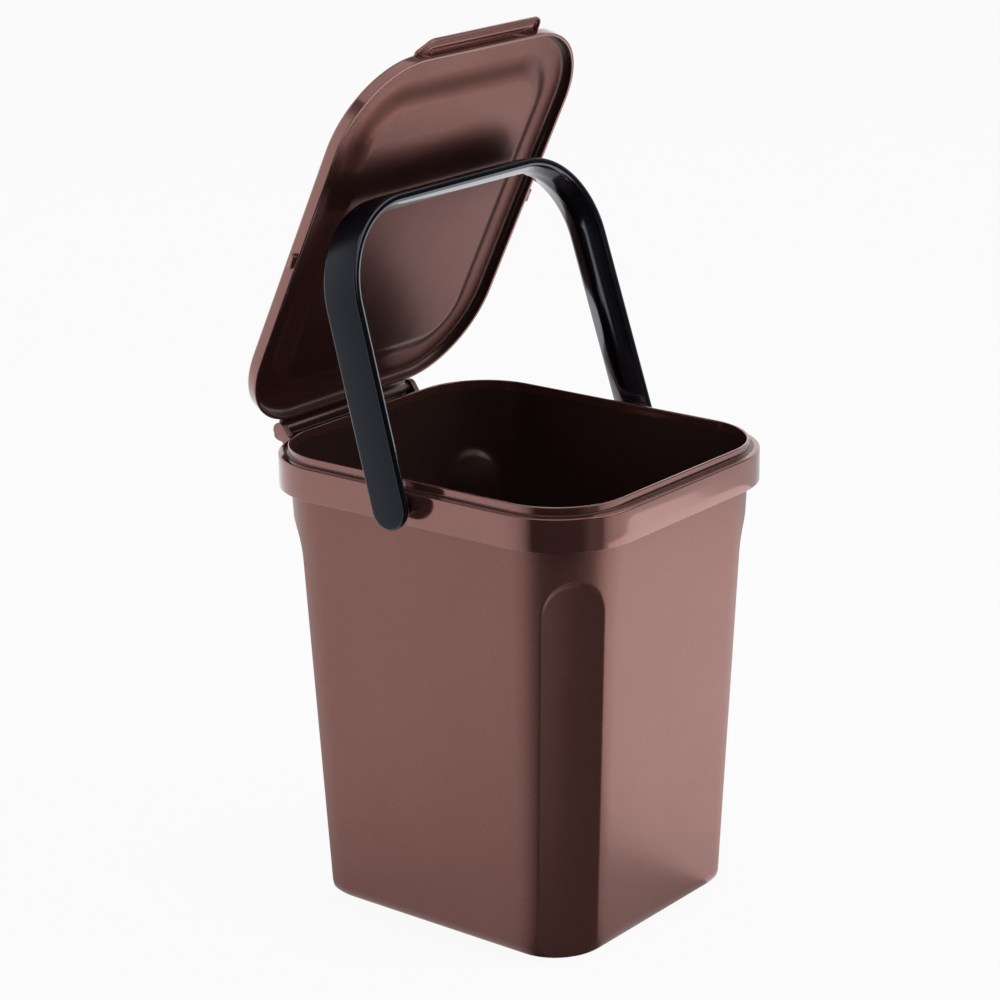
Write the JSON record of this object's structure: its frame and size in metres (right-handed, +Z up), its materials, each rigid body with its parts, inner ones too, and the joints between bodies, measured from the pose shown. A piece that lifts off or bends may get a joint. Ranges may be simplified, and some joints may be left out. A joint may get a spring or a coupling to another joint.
{
  "type": "compost caddy",
  "caption": "Tapered kitchen compost caddy with a hinged shallow lid, fluted corners, a rim band and a swinging carrying handle.",
  "frame": {"origin": "centre of the bucket's flat foot, on the surface it stands on", "axes": "+Z up, -Y towards the front with the lid's grip tab, +Y towards the hinge, handle pivots on +X and -X"},
  "size_m": [0.2262, 0.2455, 0.4902],
  "materials": {
    "bucket": "metallic brown polypropylene, satin body under a glossy rim band",
    "lid": "metallic brown polypropylene, glossy",
    "handle": "satin black polypropylene with polished edges"
  },
  "bodies": {
    "bucket": {"bucket": "bucket"},
    "lid": {"lid": "lid"},
    "handle": {"handle": "handle"}
  },
  "joints": [
    {"name": "handle_swing", "type": "hinge", "parent": "bucket", "child": "handle", "pos_m": [0, 0, 0.2532], "axis": [1, 0, 0], "range_deg": [0, 149]},
    {"name": "lid_hinge", "type": "hinge", "parent": "bucket", "child": "lid", "pos_m": [0, 0.1255, 0.262], "axis": [1, 0, 0], "range_deg": [0, 64.2]}
  ],
  "couplings": [
    {"joint": "lid_hinge", "follows": "handle_swing", "ratio": 0.4308}
  ]
}
